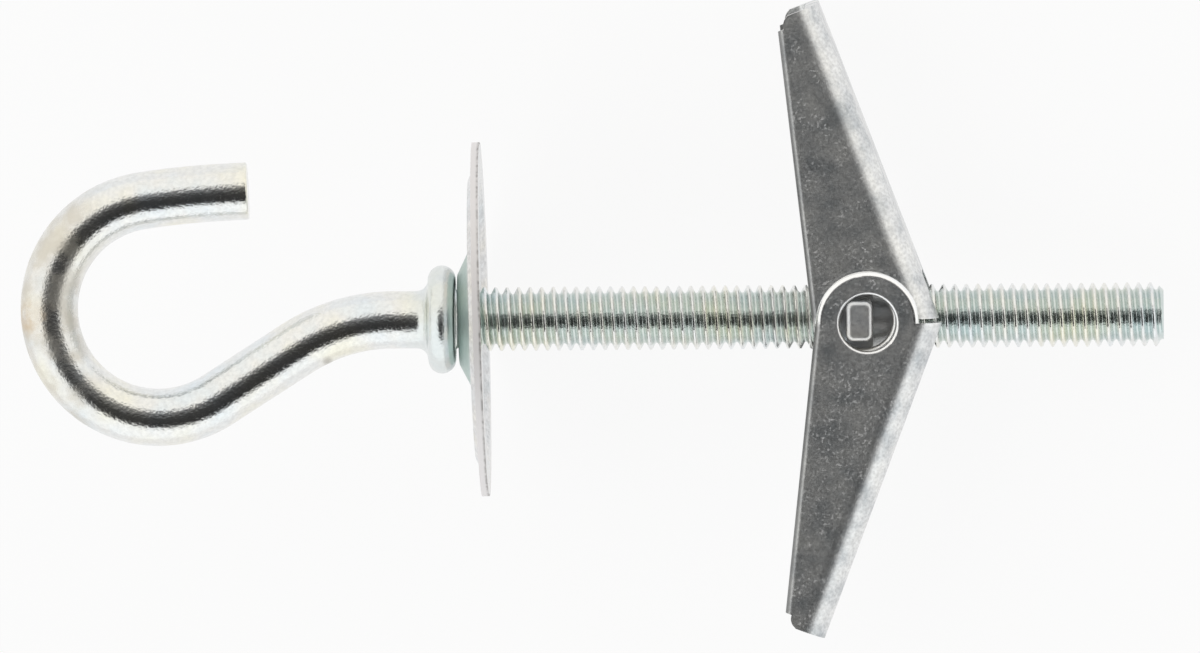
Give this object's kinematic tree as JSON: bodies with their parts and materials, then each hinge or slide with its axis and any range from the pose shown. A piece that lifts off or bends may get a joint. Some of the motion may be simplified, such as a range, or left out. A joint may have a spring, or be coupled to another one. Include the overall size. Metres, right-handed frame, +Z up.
{
  "type": "spring toggle bolt",
  "caption": "Spring toggle bolt with an open hook, a pressed washer and sprung folding wings, for hanging from a hollow ceiling or panel.",
  "frame": {"origin": "on the floor under the middle of the part's box, as the toggle bolt comes to rest on its washer and one wing", "axes": "+X from the hook towards the thread's end, +Y towards the wing whose flange lies on the floor, +Z up"},
  "size_m": [0.0688, 0.039, 0.0213],
  "materials": {
    "zinc_wire": "bright zinc plate",
    "zinc_washer": "bright zinc plate",
    "zinc_nut": "bright zinc plate",
    "zinc_wing": "mottled zinc plate",
    "spring_wire": "bare spring steel"
  },
  "bodies": {
    "bolt": {"hook_bolt": "zinc_wire"},
    "washer": {"washer": "zinc_washer"},
    "nut": {"trunnion_nut": "zinc_nut", "spring": "spring_wire"},
    "wing_a": {"wing_upper": "zinc_wing"},
    "wing_b": {"wing_lower": "zinc_wing"}
  },
  "joints": [
    {"name": "nut_turn", "type": "hinge", "parent": "bolt", "child": "washer", "pos_m": [-0.00655, 0.00006, 0.01061], "axis": [0.9818, 0, -0.1898], "range_deg": [-1800, 8280]},
    {"name": "nut_travel", "type": "slide", "parent": "washer", "child": "nut", "axis": [0.9818, 0, -0.1898], "range_m": [-0.00351, 0.01611]},
    {"name": "wing_upper_fold", "type": "hinge", "parent": "nut", "child": "wing_a", "pos_m": [0.01623, 0.00006, 0.00621], "axis": [0.1892, 0.0734, 0.9792], "range_deg": [0, 67], "stiffness_Nm_per_rad": 0.012, "springref_deg": -28.65, "deforming": ["spring"]},
    {"name": "wing_lower_fold", "type": "hinge", "parent": "nut", "child": "wing_b", "pos_m": [0.01642, -0.00006, 0.00618], "axis": [-0.1892, -0.0734, -0.9792], "range_deg": [0, 67], "stiffness_Nm_per_rad": 0.012, "springref_deg": -28.65, "deforming": ["spring"]}
  ],
  "couplings": [
    {"joint": "nut_travel", "follows": "nut_turn", "m_per_rad": 0.00011141}
  ]
}
